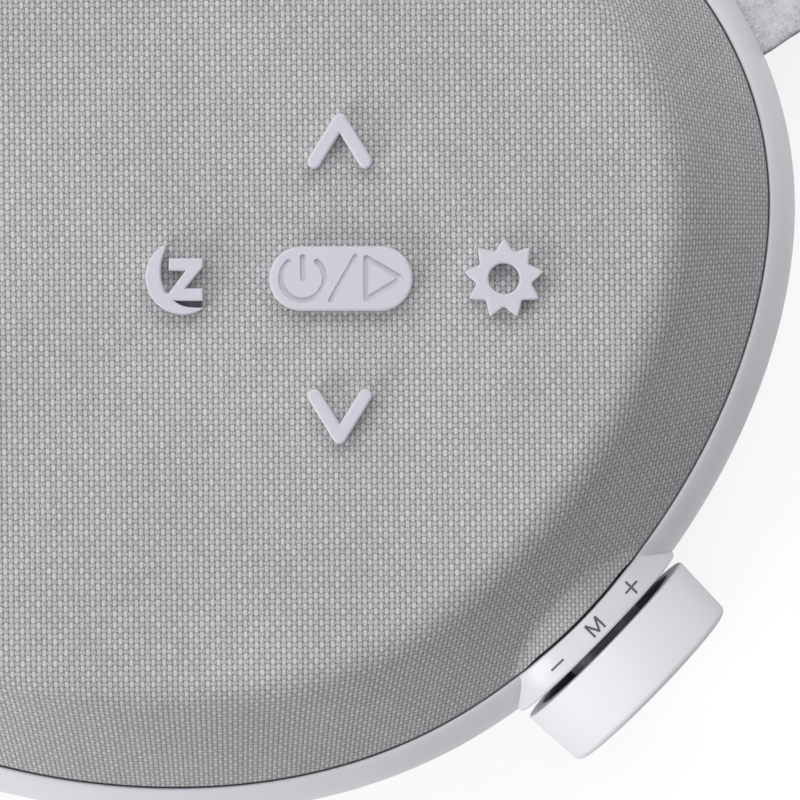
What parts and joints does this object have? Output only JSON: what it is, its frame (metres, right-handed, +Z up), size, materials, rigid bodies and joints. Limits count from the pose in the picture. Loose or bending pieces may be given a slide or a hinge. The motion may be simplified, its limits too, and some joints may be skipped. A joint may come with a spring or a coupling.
{
  "type": "white noise sound machine",
  "caption": "Pebble-shaped sound machine with a cloth-covered grille top, raised icon keys, a push dial on its rim and a felt strap.",
  "frame": {"origin": "centre of the housing's plan outline, on the face of the rubber base pad that rests on the table", "axes": "+Z up through the cloth top; +Y towards the up key; +X towards the night-light key; the dial points down and right, 44.2 degrees below +X"},
  "size_m": [0.1866, 0.1354, 0.0379],
  "materials": {
    "white_shell": "fine satin moulding",
    "base_plastic": "fine matt moulding",
    "pad_rubber": "matt",
    "grey_fabric": "plain weave",
    "inner_plastic": "matt",
    "black_foam": "closed-cell foam",
    "key_plastic": "satin",
    "dark_plastic": "satin",
    "circuit_board": "solder mask",
    "steel": "plated",
    "chip_plastic": "matt",
    "capacitor_can": "sleeved can",
    "led_resin": "clear resin",
    "battery_foil": "foil pouch",
    "dark_metal": "black coat",
    "magnet_ferrite": "sintered",
    "cone_paper": "pressed paper",
    "coil_copper": "enamelled wire",
    "surround_rubber": "matt",
    "spider_cloth": "impregnated cloth",
    "grey_felt": "melange felt"
  },
  "bodies": {
    "housing": {"main_housing": "white_shell", "base_plate": "base_plastic", "base_pad": "pad_rubber", "case_screws": "steel", "grille_frame": "inner_plastic", "fabric_cover": "grey_fabric", "frame_gasket": "black_foam", "key_switches": "dark_plastic", "key_board": "circuit_board", "key_board_screws": "steel", "main_board": "circuit_board", "main_board_screws": "steel", "sound_chip": "chip_plastic", "board_capacitors": "capacitor_can", "night_light_leds": "led_resin", "usb_socket": "steel", "battery": "battery_foil", "battery_foam": "black_foam", "speaker_basket": "dark_metal", "speaker_gasket": "black_foam", "speaker_screws": "steel", "speaker_yoke": "steel", "speaker_magnet": "magnet_ferrite", "speaker_top_plate": "steel", "speaker_surround": "surround_rubber", "speaker_spider": "spider_cloth", "encoder_body": "dark_metal", "encoder_washer": "steel", "encoder_nut": "dark_metal", "strap_bar": "steel", "felt_strap": "grey_felt"},
    "up_key": {"key_up": "key_plastic", "plunger_up": "dark_plastic"},
    "down_key": {"key_down": "key_plastic", "plunger_down": "dark_plastic"},
    "play_key": {"key_play": "key_plastic", "plunger_play": "dark_plastic"},
    "sleep_key": {"key_sleep": "key_plastic", "sleep_key_patch": "grey_fabric", "plunger_sleep": "dark_plastic"},
    "light_key": {"key_light": "key_plastic", "light_key_patch": "grey_fabric", "plunger_light": "dark_plastic"},
    "dial_pusher": {"encoder_plunger": "dark_plastic"},
    "dial": {"encoder_shaft": "steel", "dial_hub": "dark_plastic", "dial_cap": "white_shell"},
    "cone": {"speaker_cone": "cone_paper", "speaker_dust_cap": "cone_paper", "speaker_coil": "coil_copper"}
  },
  "joints": [
    {"name": "up_key_press", "type": "slide", "parent": "housing", "child": "up_key", "axis": [0, 0, -1], "range_m": [0, 0.0006], "stiffness_N_per_m": 400},
    {"name": "down_key_press", "type": "slide", "parent": "housing", "child": "down_key", "axis": [0, 0, -1], "range_m": [0, 0.0006], "stiffness_N_per_m": 400},
    {"name": "play_key_press", "type": "slide", "parent": "housing", "child": "play_key", "axis": [0, 0, -1], "range_m": [0, 0.0006], "stiffness_N_per_m": 400},
    {"name": "sleep_key_press", "type": "slide", "parent": "housing", "child": "sleep_key", "axis": [0, 0, -1], "range_m": [0, 0.0006], "stiffness_N_per_m": 400},
    {"name": "light_key_press", "type": "slide", "parent": "housing", "child": "light_key", "axis": [0, 0, -1], "range_m": [0, 0.0006], "stiffness_N_per_m": 400},
    {"name": "dial_press", "type": "slide", "parent": "housing", "child": "dial_pusher", "axis": [-0.7169, 0.6972, 0], "range_m": [0, 0.0005], "stiffness_N_per_m": 800},
    {"name": "dial_turn", "type": "hinge", "parent": "dial_pusher", "child": "dial", "pos_m": [0.03797, -0.03267, 0.0145], "axis": [0.7169, -0.6972, 0], "continuous": true},
    {"name": "cone_travel", "type": "slide", "parent": "housing", "child": "cone", "axis": [0, 0, 1], "range_m": [-0.0008, 0.0008], "stiffness_N_per_m": 800, "deforming": ["speaker_surround", "speaker_spider"]}
  ]
}
